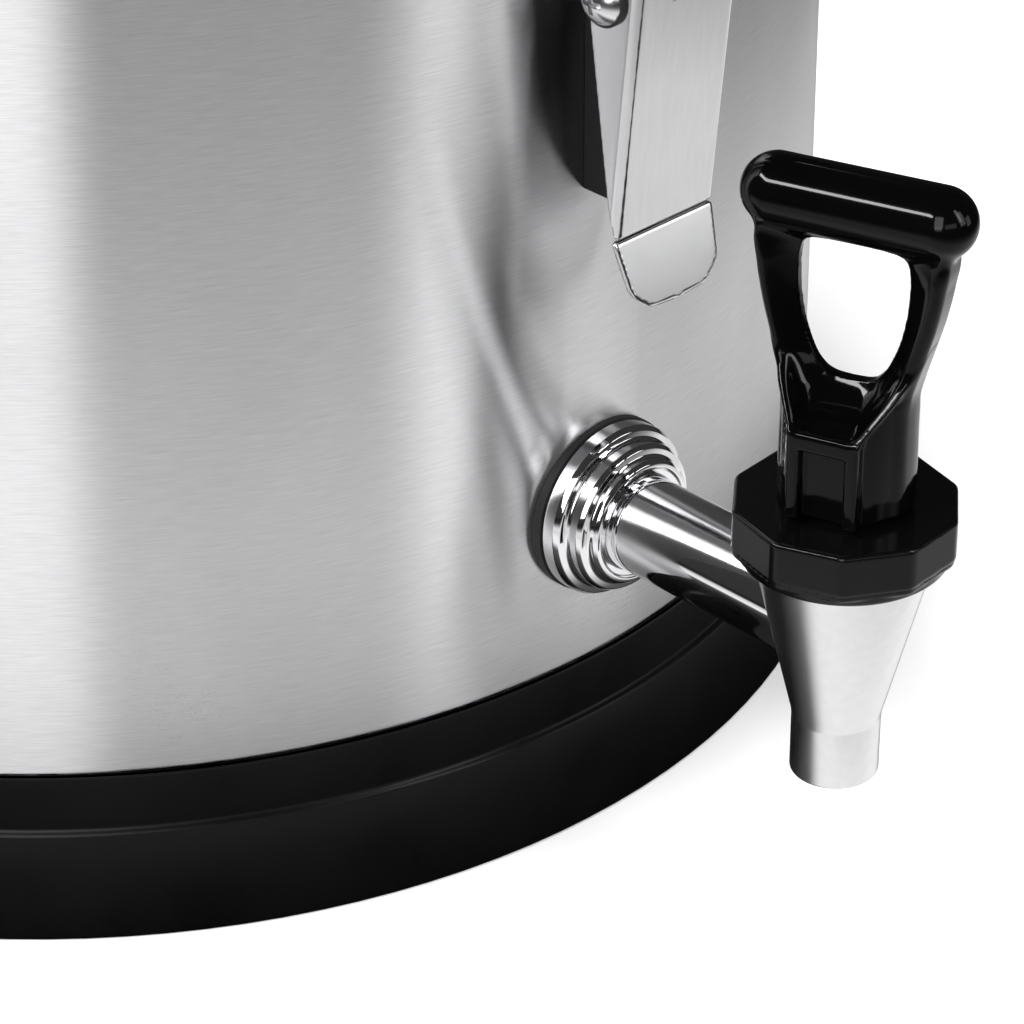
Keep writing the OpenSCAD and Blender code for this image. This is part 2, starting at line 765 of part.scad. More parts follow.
module vent_seat() {
  color(steel) translate([0, vent_y, 0]) difference() {
    union() {
      translate([0, 0, liner_z - 1.5]) cylinder(r = vent_tube_r, h = 35);
      translate([0, 0, vent_flange_z]) cylinder(r = 11.5, h = 1.4);
    }
    translate([0, 0, 220]) cylinder(r = 5, h = 50);
  }
}
module vent_knob() {
  color(black) translate([0, vent_y, 0]) rotate_extrude() polygon([
    [0, liner_z + 6], [4.7, liner_z + 6], [4.7, vent_flange_z + 1.8], [11, vent_flange_z + 1.8],
    [11.4, vent_flange_z + 2.4], [11, 268.5], [9.5, 270], [0, 270.6]
  ]);
}

base_cup();
base_screws();
base_studs();
outer_shell();
inner_vessel();
foam_insulation();
rim_collar();
tap_gasket();
tap_collar();
tap_shank();
shank_sleeve();
shank_seal();
shank_nut();
tap_body();
bonnet();
bonnet_seal();
swivel_washer();
valve_stem();
seat_cup();
valve_spring();
handle_pin();
tap_handle();
latch_bases();
latch_base_screws();
pivot_screws();
latch_lever_front();
latch_lever_rear();
latch_link_front();
latch_link_rear();
link_screw_front();
link_screw_rear();
link_washers_front();
link_washers_rear();
link_nut_front();
link_nut_rear();
lid_keepers();
keeper_rivets();
handle_brackets();
bracket_rivets();
handle_left();
handle_right();
grip_left();
grip_right();
lid_cover();
lid_liner();
lid_foam();
lid_gasket();
lid_handle();
lid_handle_screws();
vent_seat();
vent_knob();
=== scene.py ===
import json
import math

import bpy
import numpy as np
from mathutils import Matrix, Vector

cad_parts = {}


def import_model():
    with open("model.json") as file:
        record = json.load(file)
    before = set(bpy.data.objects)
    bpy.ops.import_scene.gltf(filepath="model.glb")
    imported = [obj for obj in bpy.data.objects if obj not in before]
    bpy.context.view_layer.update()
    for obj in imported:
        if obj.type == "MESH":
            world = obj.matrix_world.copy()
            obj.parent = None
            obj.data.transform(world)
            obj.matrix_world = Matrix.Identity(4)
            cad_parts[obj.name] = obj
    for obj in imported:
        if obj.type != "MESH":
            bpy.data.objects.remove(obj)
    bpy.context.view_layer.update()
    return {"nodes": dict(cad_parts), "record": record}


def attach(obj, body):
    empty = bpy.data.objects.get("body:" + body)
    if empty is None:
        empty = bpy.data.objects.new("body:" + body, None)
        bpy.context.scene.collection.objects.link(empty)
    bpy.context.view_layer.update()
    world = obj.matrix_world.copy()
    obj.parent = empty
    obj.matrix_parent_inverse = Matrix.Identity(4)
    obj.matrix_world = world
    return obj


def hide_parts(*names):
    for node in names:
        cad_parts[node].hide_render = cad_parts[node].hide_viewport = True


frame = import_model()
NODES = frame["nodes"]
MM = 0.001

# Places that the pieces share, in millimetres in the row frame
BODY_R = 155.0
TAP_Y = -217.0
TAP_TURN = math.radians(-70.4)
BONNET_TURN = math.radians(4.6)
SHANK_Z = 68.4
FRONT, REAR = 0.0, math.pi

# Grid steps of the surfaces drawn from fields, in millimetres
FINE_GRID, LID_HANDLE_GRID = 0.4, 0.75


# ---------- signed distance fields, in millimetres ----------
FAR = 1e9


def smooth_min(a, b, k):
    h = np.clip(0.5 + 0.5 * (b - a) / k, 0, 1)
    return b + (a - b) * h - k * h * (1 - h)


def smooth_max(a, b, k):
    return -smooth_min(-a, -b, k)


def polygon_2d(u, v, points):
    """Signed distance to a closed outline."""
    pts = np.asarray(points, float)
    shape = np.broadcast(u, v).shape
    nearest = np.full(shape, FAR)
    inside = np.zeros(shape, bool)
    for (ax, ay), (bx, by) in zip(pts, np.roll(pts, -1, axis=0)):
        ex, ey = bx - ax, by - ay
        t = np.clip(((u - ax) * ex + (v - ay) * ey) / (ex * ex + ey * ey), 0, 1)
        nearest = np.minimum(nearest, (u - ax - t * ex) ** 2 + (v - ay - t * ey) ** 2)
        if ey != 0:
            crosses = ((ay <= v) & (by > v)) | ((by <= v) & (ay > v))
            inside ^= crosses & (u < ax + ex * (v - ay) / ey)
    return np.where(inside, -1, 1) * np.sqrt(nearest)


def mirrored(half):
    """A closed outline from its right half, listed along one side."""
    return list(half) + [(-x, y) for x, y in reversed(half)]


def closed_curve(points):
    """A smooth closed outline through the points."""
    steps = 6
    p = [np.array(q, float) for q in points]
    n = len(p)
    out = []
    for i in range(n):
        a, b, c, d = p[i - 1], p[i], p[(i + 1) % n], p[(i + 2) % n]
        for t in np.arange(steps) / steps:
            out.append(0.5 * (2 * b + (c - a) * t + (2 * a - 5 * b + 4 * c - d) * t * t
                              + (3 * b - a - 3 * c + d) * t ** 3))
    return out


def filleted(points, r):
    """A closed outline with its corners rounded, each to r or to what its edges allow."""
    steps, nearly_straight = 5, math.radians(86)
    edge_share, shortest_cut, smallest_slope = 0.45, 1e-4, 1e-6
    pts = [np.array(p, float) for p in points]
    out = []
    for i, p in enumerate(pts):
        a, b = pts[i - 1] - p, pts[(i + 1) % len(pts)] - p
        la, lb = np.linalg.norm(a), np.linalg.norm(b)
        ua, ub = a / la, b / lb
        half = math.acos(float(np.clip(ua @ ub, -1, 1))) / 2
        cut = min(r / max(math.tan(half), smallest_slope), edge_share * la, edge_share * lb)
        if half > nearly_straight or cut < shortest_cut:
            out.append(p)
            continue
        start, end = p + ua * cut, p + ub * cut
        for t in np.linspace(0, 1, steps):
            out.append((1 - t) ** 2 * start + 2 * t * (1 - t) * p + t * t * end)
    return out


def eased(z, table):
    """A smooth function through the (z, value) pairs of the table."""
    at, value = np.array(table, float).T
    slope = np.gradient(value, at)
    i = np.clip(np.searchsorted(at, z) - 1, 0, len(at) - 2)
    span = at[i + 1] - at[i]
    t = np.clip((z - at[i]) / span, 0, 1)
    a, b = value[i], value[i + 1]
    p, q = slope[i] * span, slope[i + 1] * span
    return a + t * p + t * t * (3 * (b - a) - 2 * p - q) + t ** 3 * (2 * (a - b) + p + q)


def slab(t, low, high):
    return np.abs(t - (low + high) / 2) - (high - low) / 2


def rounded_extrusion(flat, depth, r):
    """A flat field given a thickness, with its edges rounded to r.

    depth is |distance from the middle| minus half the thickness.
    """
    a, b = flat + r, depth + r
    return np.minimum(np.maximum(a, b), 0) + np.hypot(np.maximum(a, 0), np.maximum(b, 0)) - r


def box_field(x, y, z, low, high, r):
    q = [slab(t, a, b) + r for t, a, b in zip((x, y, z), low, high)]
    outside = np.sqrt(sum(np.maximum(t, 0) ** 2 for t in q))
    return outside + np.minimum(np.maximum(np.maximum(q[0], q[1]), q[2]), 0) - r


def disc_field(x, y, z, radius, low, high, r):
    return rounded_extrusion(np.hypot(x, y) - radius, slab(z, low, high), r)


# ---------- meshes ----------
def new_object(name, verts, faces, material):
    """A smooth-shaded mesh object in the scene, from points in metres."""
    mesh = bpy.data.meshes.new(name)
    mesh.from_pydata([tuple(v) for v in verts], [], [tuple(f) for f in faces])
    mesh.validate()
    mesh.update()
    obj = bpy.data.objects.new(name, mesh)
    bpy.context.scene.collection.objects.link(obj)
    obj.data.materials.append(material)
    for p in mesh.polygons:
        p.use_smooth = True
    return obj


def crossing_cells(f, inside):
    """For each grid cell, how many of its edges the surface crosses, and the sum of the crossings."""
    shape = np.array(f.shape) - 1
    total = np.zeros(tuple(shape) + (3,))
    count = np.zeros(tuple(shape))
    corners = [(i, j, k) for i in (0, 1) for j in (0, 1) for k in (0, 1)]

    def at(grid, c):
        return grid[c[0]:c[0] + shape[0], c[1]:c[1] + shape[1], c[2]:c[2] + shape[2]]

    for a in corners:
        for axis in range(3):
            if a[axis]:
                continue
            b = tuple(1 if i == axis else a[i] for i in range(3))
            cut = at(inside, a) != at(inside, b)
            fa, fb = at(f, a), at(f, b)
            t = np.where(cut, fa / np.where(cut, fa - fb, 1), 0)
            for i in range(3):
                offset = a[i] + (t if i == axis else 0)
                total[..., i] += np.where(cut, offset, 0)
            count += cut
    return total, count


def crossing_quads(inside, index):
    """One quad round each grid edge that the surface crosses, facing outwards."""
    quads = []
    for axis in range(3):
        lo = [slice(0, -1) if i == axis else slice(1, -1) for i in range(3)]
        hi = [slice(1, None) if i == axis else slice(1, -1) for i in range(3)]
        start, end = inside[tuple(lo)], inside[tuple(hi)]
        u, v = (axis + 1) % 3, (axis + 2) % 3
        for enter in (False, True):
            p = np.argwhere((start != end) & (start == enter))
            p[:, u] += 1
            p[:, v] += 1
            ring = []
            for du, dv in ((-1, -1), (0, -1), (0, 0), (-1, 0)):
                q = p.copy()
                q[:, u] += du
                q[:, v] += dv
                ring.append(index[q[:, 0], q[:, 1], q[:, 2]])
            ring = np.stack(ring, 1)
            quads.append(ring if enter else ring[:, ::-1])
    return np.concatenate(quads)


def drawn_onto(field, verts, step):
    """The points moved along the field's slope until they lie on its zero surface."""
    passes, probe, least_slope_squared = 3, step * 0.1, 0.25
    for _ in range(passes):
        x, y, z = verts.T
        value = field(x, y, z)
        grad = np.stack([
            field(x + probe, y, z) - field(x - probe, y, z),
            field(x, y + probe, z) - field(x, y - probe, z),
            field(x, y, z + probe) - field(x, y, z - probe),
        ], 1) / (2 * probe)
        size = np.maximum((grad ** 2).sum(1), least_slope_squared)
        move = -value[:, None] * grad / size[:, None]
        verts = verts + np.clip(move, -step / 2, step / 2)
    return verts


def surface_net(field, low, high, step):
    """Quads on the zero surface of field, found on a grid and then drawn onto the surface itself."""
    axes = [np.arange(a - step, b + 2 * step, step) for a, b in zip(low, high)]
    gx, gy, gz = np.meshgrid(*axes, indexing="ij", sparse=True)
    f = field(gx, gy, gz)
    inside = f < 0
    total, count = crossing_cells(f, inside)
    used = count > 0
    index = np.full(used.shape, -1)
    index[used] = np.arange(used.sum())
    cell = np.argwhere(used)
    verts = (cell + total[used] / count[used][:, None]) * step + np.array([a[0] for a in axes])
    return drawn_onto(field, verts, step), crossing_quads(inside, index)


def placed(verts, turn=0.0, shift=(0, 0, 0)):
    """Millimetres to metres, turned about Z and moved."""
    c, s = math.cos(turn), math.sin(turn)
    x, y, z = np.asarray(verts, float).T
    out = np.stack([c * x - s * y, s * x + c * y, z], 1) + np.array(shift)
    return out * MM


def lathe(profile, turns):
    """Turns a closed (radius, height) outline about Z."""
    ring = np.asarray(profile, float)
    n = len(ring)
    angle = np.arange(turns) * 2 * math.pi / turns
    verts = np.stack([
        np.outer(np.cos(angle), ring[:, 0]), np.outer(np.sin(angle), ring[:, 0]),
        np.tile(ring[:, 1], (turns, 1)),
    ], 2).reshape(-1, 3)
    faces = []
    for i in range(turns):
        j = (i + 1) % turns
        for k in range(n):
            m = (k + 1) % n
            faces.append((i * n + k, j * n + k, j * n + m, i * n + m))
    return verts, faces


# ---------- materials ----------
# A noise texture's values lie mostly between these two
NOISE_LOW, NOISE_HIGH = 0.3, 0.7


def base_material(name):
    mat = bpy.data.materials.new(name)
    mat.use_nodes = True
    nodes, links = mat.node_tree.nodes, mat.node_tree.links
    return mat, nodes, links, nodes["Principled BSDF"]


def set_inputs(shader, **values):
    for key, value in values.items():
        shader.inputs[key.replace("_", " ")].default_value = value


def noise_node(nodes, links, vector, scale=1.0, detail=3.0, rough=0.5):
    n = nodes.new("ShaderNodeTexNoise")
    n.inputs["Scale"].default_value = scale
    n.inputs["Detail"].default_value = detail
    n.inputs["Roughness"].default_value = rough
    links.new(vector, n.inputs["Vector"])
    return n.outputs["Fac"]


def remap(nodes, links, value, low, high):
    n = nodes.new("ShaderNodeMapRange")
    spread = (("From Min", NOISE_LOW), ("From Max", NOISE_HIGH), ("To Min", low), ("To Max", high))
    for key, v in spread:
        n.inputs[key].default_value = v
    links.new(value, n.inputs["Value"])
    return n.outputs["Result"]


def stretched(nodes, links, scale):
    coord = nodes.new("ShaderNodeTexCoord")
    mapping = nodes.new("ShaderNodeMapping")
    mapping.inputs["Scale"].default_value = scale
    links.new(coord.outputs["Object"], mapping.inputs["Vector"])
    return mapping.outputs["Vector"]


def round_the_axis(nodes, links, around, up):
    """Coordinates that run round Z and up it, for marks left by turning and brushing."""
    coord = nodes.new("ShaderNodeTexCoord")
    split = nodes.new("ShaderNodeSeparateXYZ")
    links.new(coord.outputs["Object"], split.inputs["Vector"])
    angle = nodes.new("ShaderNodeMath")
    angle.operation = "ARCTAN2"
    links.new(split.outputs["Y"], angle.inputs[0])
    links.new(split.outputs["X"], angle.inputs[1])
    join = nodes.new("ShaderNodeCombineXYZ")
    for socket, factor, source in (("X", around, angle.outputs[0]), ("Z", up, split.outputs["Z"])):
        times = nodes.new("ShaderNodeMath")
        times.operation = "MULTIPLY"
        times.inputs[1].default_value = factor
        links.new(source, times.inputs[0])
        links.new(times.outputs[0], join.inputs[socket])
    return join.outputs["Vector"]


def add_bump(nodes, links, shader, height, strength, distance):
    bump = nodes.new("ShaderNodeBump")
    bump.inputs["Strength"].default_value = strength
    bump.inputs["Distance"].default_value = distance
    links.new(height, bump.inputs["Height"])
    links.new(bump.outputs["Normal"], shader.inputs["Normal"])


def tinted(nodes, links, shader, factor, dark, light):
    ramp = nodes.new("ShaderNodeMix")
    ramp.data_type = "RGBA"
    ramp.inputs["A"].default_value = (*dark, 1)
    ramp.inputs["B"].default_value = (*light, 1)
    links.new(factor, ramp.inputs["Factor"])
    links.new(ramp.outputs["Result"], shader.inputs["Base Color"])


def brushed_body():
    """Steel brushed round the body: fine level lines, and soft patches where the belt pressed harder."""
    line_share, roughness, grain_roughness, bump, bump_depth = 0.35, (0.25, 0.29), 0.05, 0.10, 0.0001
    mat, nodes, links, shader = base_material("steel_body")
    set_inputs(shader, Metallic=1.0, Anisotropic=1.0, Anisotropic_Rotation=0.25)
    tangent = nodes.new("ShaderNodeTangent")
    tangent.direction_type = "RADIAL"
    tangent.axis = "Z"
    links.new(tangent.outputs["Tangent"], shader.inputs["Tangent"])
    hairs = round_the_axis(nodes, links, around=26.0, up=5200.0)
    hair = noise_node(nodes, links, hairs, rough=0.6)
    lines = round_the_axis(nodes, links, around=14.0, up=2200.0)
    line = noise_node(nodes, links, lines, detail=2.0, rough=0.6)
    blend = nodes.new("ShaderNodeMix")
    blend.inputs["Factor"].default_value = line_share
    links.new(hair, blend.inputs["A"])
    links.new(line, blend.inputs["B"])
    fine = blend.outputs["Result"]
    broad = noise_node(nodes, links, round_the_axis(nodes, links, around=3.0, up=14.0), detail=2.0)
    tinted(nodes, links, shader, remap(nodes, links, fine, 0, 1),
           dark=(0.68, 0.68, 0.69), light=(0.86, 0.86, 0.87))
    mix = nodes.new("ShaderNodeMath")
    mix.operation = "MULTIPLY_ADD"
    mix.inputs[1].default_value = grain_roughness
    links.new(fine, mix.inputs[0])
    links.new(remap(nodes, links, broad, *roughness), mix.inputs[2])
    links.new(mix.outputs[0], shader.inputs["Roughness"])
    add_bump(nodes, links, shader, fine, bump, bump_depth)
    return mat


def plain_metal(name, dark, light, rough, grain, bump):
    """Metal with fine marks in its colour and smudges in its shine. rough is its lowest and highest."""
    smudge_scale, bump_depth = (60, 60, 60), 0.0001
    mat, nodes, links, shader = base_material(name)
    set_inputs(shader, Metallic=1.0)
    marks = noise_node(nodes, links, stretched(nodes, links, grain))
    smudge = noise_node(nodes, links, stretched(nodes, links, smudge_scale), detail=2.0)
    tinted(nodes, links, shader, marks, dark, light)
    links.new(remap(nodes, links, smudge, *rough), shader.inputs["Roughness"])
    add_bump(nodes, links, shader, marks, bump, bump_depth)
    return mat


def plastic(name, dark, light, rough, grain, bump, bump_depth=0.0001, shine=0.4):
    """A moulded or soft material with a fine skin and broad, faint patches."""
    patch_scale = 35.0
    mat, nodes, links, shader = base_material(name)
    set_inputs(shader, Specular_IOR_Level=shine)
    vector = stretched(nodes, links, (1, 1, 1))
    skin = noise_node(nodes, links, vector, grain, detail=4.0)
    broad = noise_node(nodes, links, vector, patch_scale, detail=2.0)
    tinted(nodes, links, shader, broad, dark, light)
    links.new(remap(nodes, links, broad, *rough), shader.inputs["Roughness"])
    add_bump(nodes, links, shader, skin, bump, bump_depth)
    return mat


MATERIALS = {
    "steel_body": brushed_body(),
    "chrome": plain_metal(
        "chrome", dark=(0.74, 0.74, 0.75), light=(0.82, 0.82, 0.83), rough=(0.03, 0.07),
        grain=(400, 400, 400), bump=0.02),
    "latch_steel": plain_metal(
        "latch_steel", dark=(0.66, 0.66, 0.67), light=(0.74, 0.74, 0.75), rough=(0.16, 0.24),
        grain=(900, 900, 120), bump=0.03),
    "zinc": plain_metal(
        "zinc", dark=(0.46, 0.47, 0.49), light=(0.60, 0.61, 0.62), rough=(0.28, 0.42),
        grain=(700, 700, 700), bump=0.10),
    "black_base": plastic(
        "black_base", dark=(0.001, 0.001, 0.001), light=(0.003, 0.003, 0.003), rough=(0.26, 0.36),
        grain=900, bump=0.08, shine=0.16),
    "black_gloss": plastic(
        "black_gloss", dark=(0.0006, 0.0006, 0.0006), light=(0.0018, 0.0018, 0.0018), rough=(0.06, 0.11),
        grain=160, bump=0.05, bump_depth=0.0002, shine=0.16),
    "black_satin": plastic(
        "black_satin", dark=(0.010, 0.010, 0.011), light=(0.018, 0.018, 0.019), rough=(0.26, 0.36),
        grain=1400, bump=0.10, shine=0.5),
    "seal_rubber": plastic(
        "seal_rubber", dark=(0.006, 0.006, 0.006), light=(0.012, 0.012, 0.012), rough=(0.5, 0.65),
        grain=1800, bump=0.15),
    "silicone": plastic(
        "silicone", dark=(0.55, 0.55, 0.50), light=(0.68, 0.68, 0.63), rough=(0.4, 0.5),
        grain=900, bump=0.06),
    "foam": plastic(
        "foam", dark=(0.62, 0.52, 0.28), light=(0.76, 0.67, 0.42), rough=(0.8, 0.95),
        grain=1100, bump=0.6, bump_depth=0.0006),
}
SATIN_CHROME = plain_metal(
    "satin_chrome", dark=(0.70, 0.70, 0.71), light=(0.78, 0.78, 0.79), rough=(0.20, 0.26),
    grain=(500, 500, 500), bump=0.03)
TAP_BLACK = plastic(
    "tap_black", dark=(0.001, 0.001, 0.001), light=(0.003, 0.003, 0.003), rough=(0.14, 0.21),
    grain=1400, bump=0.08, shine=0.2)
SATIN_NODES = ("link_screw_front", "link_screw_rear", "pivot_screws", "link_nut_front", "link_nut_rear")
SLOT_OF = {s["node"]: s["material_slot"] for s in frame["record"]["subparts"]}
for name, node in NODES.items():
    node.data.materials.clear()
    node.data.materials.append(SATIN_CHROME if name in SATIN_NODES else MATERIALS[SLOT_OF[name]])


def dress(obj, body, replaced):
    """Puts a piece on its body, in place of the CAD node that it stands for."""
    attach(obj, body)
    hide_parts(replaced)


def soften(width, *names):
    """Small radii on the edges of CAD pieces, as pressing and moulding leave them."""
    weld_distance, sharp_angle, normal_weight = 1e-6, math.radians(32), 60
    for name in names:
        obj = NODES[name]
        weld = obj.modifiers.new("weld", "WELD")
        weld.merge_threshold = weld_distance
        bevel = obj.modifiers.new("edge_radius", "BEVEL")
        bevel.width = width * MM
        bevel.segments = 2
        bevel.limit_method = "ANGLE"
        bevel.angle_limit = sharp_angle
        normals = obj.modifiers.new("normals", "WEIGHTED_NORMAL")
        normals.weight = normal_weight


# ---------- tap handle ----------
# The handle is modelled with its own x along the crossbar, its front towards -y, and the row's z.
# Pairs of (height, half width) up its outside
HANDLE_HALF_WIDTH = [
    (96, 12.2), (107, 12.1), (113, 12.0), (118, 12.2), (123, 13.3), (128.5, 14.8), (134.5, 16.4), (142, 17.8),
    (148, 18.4), (153, 16.5), (157, 13),
]
# The window's outline at its narrowest, and where its funnel reaches the front and the rear face
WINDOW_WAIST = closed_curve(mirrored([
    (3.4, 121.1), (6.1, 123), (7.8, 126), (9.4, 130.7), (10.4, 136.5), (10.6, 141), (10.4, 144.5),
    (9.2, 146.9), (5, 147.9),
]))
WINDOW_FRONT = closed_curve(mirrored([
    (2.5, 114.8), (5.6, 115), (7.4, 118), (9.4, 121.5), (11.6, 126), (13.4, 131), (15, 137), (16, 143),
    (16, 152),
]))
WINDOW_REAR = closed_curve(mirrored([
    (4, 118.6), (8, 121), (11, 126), (13.4, 132), (15.2, 139), (16, 145), (16, 152),
]))
WINDOW_LAND, FUNNEL_REACH = 0.9, 1.3
SCOOP_DEPTH, SCOOP_TOP, SCOOP_FADE = 4.8, 128, 8
HANDLE_FOOT, FOOT_CUT = 96.75, 96.72
HANDLE_HALF_DEPTH, ARM_TOP, ARM_FLARE, ARM_EDGE = 4.9, 158, 1.03, 2.4
STEM_R, STEM_TOP = 12.2, 126
SLANT_Y, SLANT_Z, SLANT_RUN, SLANT_RISE = 4, 118, 0.4, 0.8
BLOCK_Y, BLOCK_TOP, BLOCK_HALF, BLOCK_STEP, BLOCK_EDGE = -13.0, 114.5, 6.75, 0.1, 0.4
RIM_RISE = 1.28
NECK_REAR, NECK_EDGE = 2, 0.5
NECK_OUTLINE = mirrored([
    (BLOCK_HALF, 96), (BLOCK_HALF, 113), (7.4, 115.2), (9.3, 118), (11.2, 121), (13, 125), (14.5, 130),
])
BAR_Z, BAR_HALF, BAR_R = 155.0, 15.4, 6.75
RECESS_LOW, RECESS_HIGH, RECESS_EDGE = (-4.4, -14.5, 94), (4.4, -10.8, 111.1), 0.3
STEM_SLOT_LOW, STEM_SLOT_HIGH, STEM_SLOT_EDGE = (-3.8, -10, 90), (3.8, 8, 107), 0.2
PIN_HOLE_R, PIN_HOLE_Z, PIN_HOLE_END = 1.58, 103, 10.9
SLANT_BLEND, RIM_BLEND, NECK_BLEND, BLOCK_BLEND, WINDOW_BLEND, BAR_BLEND = 3, 0.8, 1.5, 0.6, 1.2, 2.0
HANDLE_BOX = (-22.6, -13.6, 96), (22.6, 13.2, 162.2)


def tap_handle_solid(x, y, z):
    """The arms, the round stem, and the block whose sloping rim leads up to the window."""
    side = (np.abs(x) - eased(z, HANDLE_HALF_WIDTH)) / ARM_FLARE
    plate = rounded_extrusion(np.maximum(side, z - ARM_TOP), np.abs(y) - HANDLE_HALF_DEPTH, ARM_EDGE)
    stem = rounded_extrusion(np.hypot(x, y) - STEM_R, slab(z, HANDLE_FOOT, STEM_TOP), NECK_EDGE)
    stem = smooth_max(stem, (z - SLANT_Z) * SLANT_RISE + (y - SLANT_Y) * SLANT_RUN, SLANT_BLEND)
    cheeks = rounded_extrusion(polygon_2d(x, z, NECK_OUTLINE), slab(y, BLOCK_Y, NECK_REAR), NECK_EDGE)
    slope = ((z - BLOCK_TOP) - RIM_RISE * (y - BLOCK_Y)) / math.hypot(1, RIM_RISE)
    neck = smooth_max(np.minimum(stem, cheeks), slope, RIM_BLEND)
    block = box_field(x, y, z, (-BLOCK_HALF, BLOCK_Y, HANDLE_FOOT), (BLOCK_HALF, 0, BLOCK_TOP + BLOCK_STEP),
                      BLOCK_EDGE)
    return smooth_min(smooth_min(plate, neck, NECK_BLEND), block, BLOCK_BLEND)


def tap_handle_window(x, y, z):
    """The window's opening at each depth, with a scoop in the funnel's foot."""
    front_face = np.clip(BLOCK_Y + (z - BLOCK_TOP) / RIM_RISE, BLOCK_Y, -HANDLE_HALF_DEPTH)
    front = np.clip((WINDOW_LAND + y) / (WINDOW_LAND + front_face), 0, FUNNEL_REACH)
    rear = np.clip((y - WINDOW_LAND) / (HANDLE_HALF_DEPTH - WINDOW_LAND), 0, FUNNEL_REACH)
    window = (polygon_2d(x, z, WINDOW_WAIST) * (1 - front - rear) + polygon_2d(x, z, WINDOW_FRONT) * front
              + polygon_2d(x, z, WINDOW_REAR) * rear)
    scoop = SCOOP_DEPTH * front * np.maximum(1 - front, 0) * np.clip((SCOOP_TOP - z) / SCOOP_FADE, 0, 1)
    return scoop - window


def tap_handle_field(x, y, z):
    """A D handle whose window opens into a funnel towards the front and the rear."""
    body = smooth_max(tap_handle_solid(x, y, z), tap_handle_window(x, y, z), WINDOW_BLEND)
    bar = np.sqrt(np.maximum(np.abs(x) - BAR_HALF, 0) ** 2 + y * y + (z - BAR_Z) ** 2) - BAR_R
    body = smooth_min(body, bar, BAR_BLEND)
    recess = box_field(x, y, z, RECESS_LOW, RECESS_HIGH, RECESS_EDGE)
    stem_slot = box_field(x, y, z, STEM_SLOT_LOW, STEM_SLOT_HIGH, STEM_SLOT_EDGE)
    pin_hole = np.maximum(np.hypot(y, z - PIN_HOLE_Z) - PIN_HOLE_R, x - PIN_HOLE_END)
    for hollow in (recess, stem_slot, pin_hole):
        body = np.maximum(body, -hollow)
    return np.maximum(body, FOOT_CUT - z)


def tap_handle():
    verts, faces = surface_net(tap_handle_field, *HANDLE_BOX, FINE_GRID)
    verts = placed(verts, TAP_TURN, (0, TAP_Y, 0))
    obj = new_object("tap_handle_moulding", verts, faces, MATERIALS["black_gloss"])
    dress(obj, "handle", "tap_handle")


# ---------- bonnet ----------
BONNET_SIDES = 10
BONNET_R, BONNET_CORNER = 21.3, 3.6
BONNET_OUTLINE = [
    ((BONNET_R - BONNET_CORNER) * math.cos(BONNET_TURN + i * 2 * math.pi / BONNET_SIDES),
     (BONNET_R - BONNET_CORNER) * math.sin(BONNET_TURN + i * 2 * math.pi / BONNET_SIDES))
    for i in range(BONNET_SIDES)
]
BONNET_FOOT, BONNET_TOP, BONNET_EDGE = 85.6, 95.5, 0.7
TAPER, TAPER_TOP, TAPER_HEIGHT = 0.25, 87.6, 2
LIP_R, LIP_FOOT, LIP_TOP, LIP_EDGE = 19.5, 84.1, 87.2, 0.9
LIP_FLARE, FLARE_FOOT, FLARE_HEIGHT = 0.25, 84, 4
SEAM_Z, SEAM_R = 87.0, 0.3
WELL_R, WELL_TOP, STEM_HOLE_R = 16.9, 92.2, 3.3
BONNET_BOX = (-21.5, -21.5, 83.8), (21.5, 21.5, 95.7)


def bonnet_field(x, y, z):
    """A ten-sided cap over a round lip, with a fine seam between them, hollow from below."""
    flat = polygon_2d(x, y, BONNET_OUTLINE) - BONNET_CORNER
    tapered = flat + TAPER * np.clip(TAPER_TOP - z, 0, TAPER_HEIGHT)
    prism = rounded_extrusion(tapered, slab(z, BONNET_FOOT, BONNET_TOP), BONNET_EDGE)
    lip_r = LIP_R + LIP_FLARE * np.clip(z - FLARE_FOOT, 0, FLARE_HEIGHT)
    lip = disc_field(x, y, z, lip_r, LIP_FOOT, LIP_TOP, LIP_EDGE)
    seam = np.maximum(np.hypot(flat, z - SEAM_Z) - SEAM_R, -flat - 1)
    cap = np.maximum(np.minimum(prism, lip), -seam)
    well = np.maximum(np.hypot(x, y) - WELL_R, z - WELL_TOP)
    return np.maximum(np.maximum(cap, -well), STEM_HOLE_R - np.hypot(x, y))


def bonnet():
    verts, faces = surface_net(bonnet_field, *BONNET_BOX, FINE_GRID)
    obj = new_object("bonnet_moulding", placed(verts, 0, (0, TAP_Y, 0)), faces, TAP_BLACK)
    dress(obj, "root", "bonnet")


# ---------- turned pieces ----------
NOZZLE_PROFILE = [
    (6.6, 37), (8.4, 37), (8.4, 49.2), (8.65, 50.7), (16.8, 84), (16.6, 91), (14, 91), (14, 80), (9.5, 61.5),
    (6.6, 57.5),
]
COLLAR_PROFILE = [
    (9.62, 0), (17.4, 0), (17.6, 0.6), (17.55, 3.1), (16.9, 4.25), (15.6, 4.5), (15.25, 4.9), (15.2, 7.0),
    (14.6, 7.9), (13.4, 8.1), (13.0, 8.4), (12.9, 9.3), (12.3, 10.0), (11.5, 10.2), (11.0, 9.7), (9.62, 9.6),
]
COLLAR_GAP = 1.2
METAL_EDGE, METAL_TURNS = 0.5, 192
# Half of a drop handle's grip, from its end inwards, then the ribs between the two ends
GRIP_END = [(3.52, 39), (7.6, 39), (9.3, 38.2), (9.98, 36.4), (9.98, 34)]
RIB_R, RIB_DEPTH, RIB_START, RIB_STEP, STEPS_PER_RIB, RIB_POINTS = 9.9, 0.45, -32, 2.0, 8, 33
DROP_X, DROP_Z = 167.5, 146
GRIP_EDGE, GRIP_TURNS = 0.3, 96


